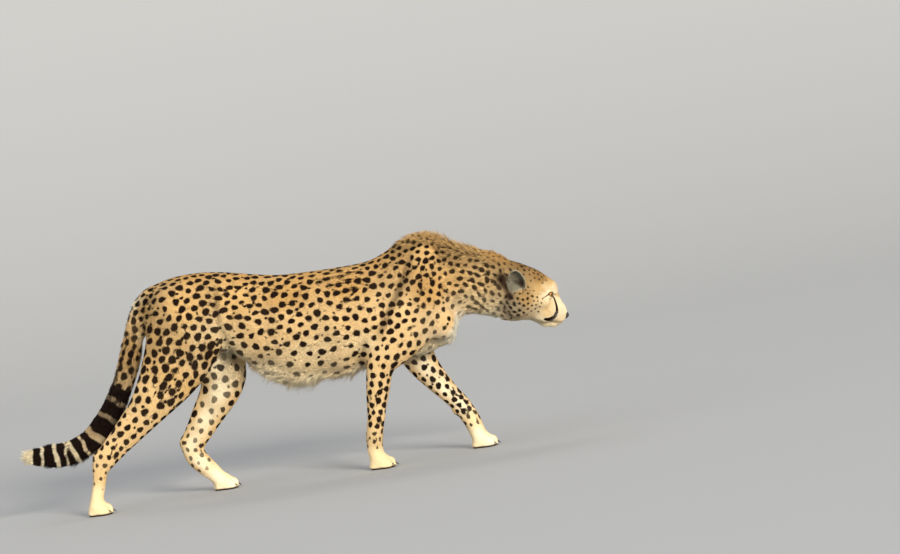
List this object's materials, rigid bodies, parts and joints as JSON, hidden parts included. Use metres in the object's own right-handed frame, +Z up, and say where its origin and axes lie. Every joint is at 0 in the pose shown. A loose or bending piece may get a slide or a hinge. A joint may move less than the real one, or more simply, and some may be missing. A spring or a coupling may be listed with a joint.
{
  "type": "cheetah",
  "caption": "Life-size still model of an adult cheetah stalking with its head lowered, spotted golden coat, ringed tail.",
  "frame": {"origin": "on the floor under the middle of the animal's box", "axes": "+X towards the nose, +Y to the animal's left, +Z up"},
  "size_m": [1.6627, 0.2432, 0.6658],
  "materials": {
    "coat": "short dense golden-tan fur with solid near-black spots, cream underneath",
    "eye": "wet amber iris with a round black pupil",
    "nose_leather": "damp black pebbled nose leather",
    "claw": "dark worn horn of the claws",
    "whisker": "stiff pale whiskers"
  },
  "bodies": {
    "root": {"head": "coat", "neck": "coat", "trunk": "coat", "tail_upper": "coat", "tail_middle": "coat", "tail_tip": "coat", "fore_leg_right": "coat", "fore_leg_left": "coat", "fore_paw_right": "coat", "fore_paw_left": "coat", "hind_leg_right": "coat", "hind_leg_left": "coat", "hind_foot_right": "coat", "hind_foot_left": "coat", "ear_right": "coat", "ear_left": "coat", "eye_right": "eye", "eye_left": "eye", "nose": "nose_leather"}
  },
  "joints": []
}
